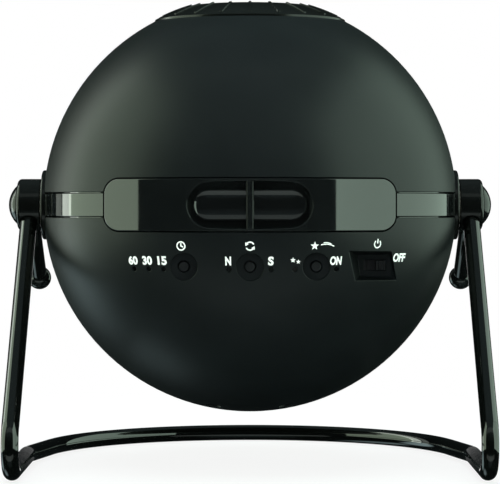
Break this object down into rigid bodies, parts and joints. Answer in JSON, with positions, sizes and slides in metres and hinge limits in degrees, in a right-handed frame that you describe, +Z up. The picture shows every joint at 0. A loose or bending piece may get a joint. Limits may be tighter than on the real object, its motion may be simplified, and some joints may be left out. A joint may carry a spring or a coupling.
{
  "type": "planetarium projector",
  "caption": "Ball-shaped home star projector that tilts between hubs on a bent-tube stand, with a ribbed focus ring on top and a pull-out disc tray.",
  "frame": {"origin": "on the floor, under the middle of the ball, which is the middle of the whole object's outline", "axes": "+Z up, with the lens looking up at rest; the controls and the disc tray face -Y; the tilt axis is along X"},
  "size_m": [0.1678, 0.151, 0.1583],
  "materials": {
    "stand_black": "gloss black enamel on bent steel tube",
    "hub_black": "satin moulded plastic",
    "pivot_black": "satin moulded plastic over a steel shank",
    "washer_nylon": "natural nylon",
    "ball_black": "finely textured satin ABS",
    "boss_black": "satin moulded plastic",
    "band_gloss": "polished moulded plastic",
    "plate_gloss": "polished moulded plastic",
    "ring_black": "satin moulded plastic",
    "insert_brass": "knurled brass",
    "screw_steel": "zinc-plated steel",
    "frame_grey": "unpolished moulded ABS",
    "gear_white": "acetal",
    "disc_film": "printed film between clear discs",
    "motor_steel": "plated can",
    "sink_aluminium": "extruded aluminium",
    "board_white": "white solder resist",
    "led_yellow": "phosphor under silicone",
    "holder_black": "matt black moulding",
    "lens_glass": "coated optical glass",
    "board_green": "green solder resist",
    "switch_black": "moulded switch housing",
    "light_window": "clear light pipe",
    "button_black": "satin moulded plastic"
  },
  "bodies": {
    "stand": {"stand_tube": "stand_black", "hub_left": "hub_black", "hub_right": "hub_black", "rear_arm_left": "stand_black", "rear_arm_right": "stand_black", "arm_ball_left": "stand_black", "arm_ball_right": "stand_black", "friction_washer_left": "washer_nylon", "friction_washer_right": "washer_nylon"},
    "ball": {"upper_shell": "ball_black", "lower_shell": "ball_black", "equator_band": "band_gloss", "boss_left": "boss_black", "boss_right": "boss_black", "insert_left": "insert_brass", "insert_right": "insert_brass", "pivot_screw_left": "pivot_black", "pivot_screw_right": "pivot_black", "housing_screws": "screw_steel", "chassis": "frame_grey", "drive_motor": "motor_steel", "heat_sink": "sink_aluminium", "lamp_board": "board_white", "lamp_led": "led_yellow", "condenser_holder": "holder_black", "condenser_lens": "lens_glass", "meteor_lamp": "holder_black", "focus_mount": "frame_grey", "control_board": "board_green", "tact_switches": "switch_black", "indicator_lights": "light_window", "power_switch": "switch_black", "dc_jack": "switch_black"},
    "disc_tray": {"tray_front": "plate_gloss", "tray_carriage": "frame_grey", "tray_screws": "screw_steel"},
    "disc_table": {"turntable": "gear_white", "star_disc": "disc_film"},
    "lens_tube": {"lens_barrel": "holder_black", "front_lens": "lens_glass", "rear_lens": "lens_glass", "lens_retainers": "holder_black"},
    "focus_ring_body": {"focus_ring": "ring_black"},
    "pinion": {"drive_pinion": "gear_white"},
    "timer_key": {"timer_button": "button_black"},
    "motion_key": {"motion_button": "button_black"},
    "meteor_key": {"meteor_button": "button_black"},
    "power_slider": {"power_knob": "button_black"}
  },
  "joints": [
    {"name": "ball_tilt", "type": "hinge", "parent": "stand", "child": "ball", "pos_m": [0, 0, 0.0889], "axis": [1, 0, 0], "range_deg": [-90, 90]},
    {"name": "tray_slide", "type": "slide", "parent": "ball", "child": "disc_tray", "axis": [0, -1, 0], "range_m": [0, 0.1]},
    {"name": "disc_spin", "type": "hinge", "parent": "disc_tray", "child": "disc_table", "pos_m": [0, 0, 0.0889], "axis": [0, 0, 1], "continuous": true},
    {"name": "pinion_spin", "type": "hinge", "parent": "ball", "child": "pinion", "pos_m": [0, 0.0361, 0.0889], "axis": [0, 0, 1], "continuous": true},
    {"name": "focus_turn", "type": "hinge", "parent": "ball", "child": "focus_ring_body", "pos_m": [0, 0, 0.0889], "axis": [0, 0, 1], "range_deg": [-60, 60]},
    {"name": "lens_focus", "type": "slide", "parent": "ball", "child": "lens_tube", "axis": [0, 0, 1], "range_m": [-0.0015, 0.0015]},
    {"name": "timer_press", "type": "slide", "parent": "ball", "child": "timer_key", "axis": [0, 1, 0], "range_m": [0, 0.0008], "stiffness_N_per_m": 1200, "springref_m": -0.0005},
    {"name": "motion_press", "type": "slide", "parent": "ball", "child": "motion_key", "axis": [0, 1, 0], "range_m": [0, 0.0008], "stiffness_N_per_m": 1200, "springref_m": -0.0005},
    {"name": "meteor_press", "type": "slide", "parent": "ball", "child": "meteor_key", "axis": [0, 1, 0], "range_m": [0, 0.0008], "stiffness_N_per_m": 1200, "springref_m": -0.0005},
    {"name": "power_slide", "type": "slide", "parent": "ball", "child": "power_slider", "axis": [-1, 0, 0], "range_m": [0, 0.0035]}
  ],
  "couplings": [
    {"joint": "pinion_spin", "follows": "disc_spin", "ratio": -5},
    {"joint": "focus_turn", "follows": "lens_focus", "rad_per_m": 698}
  ]
}
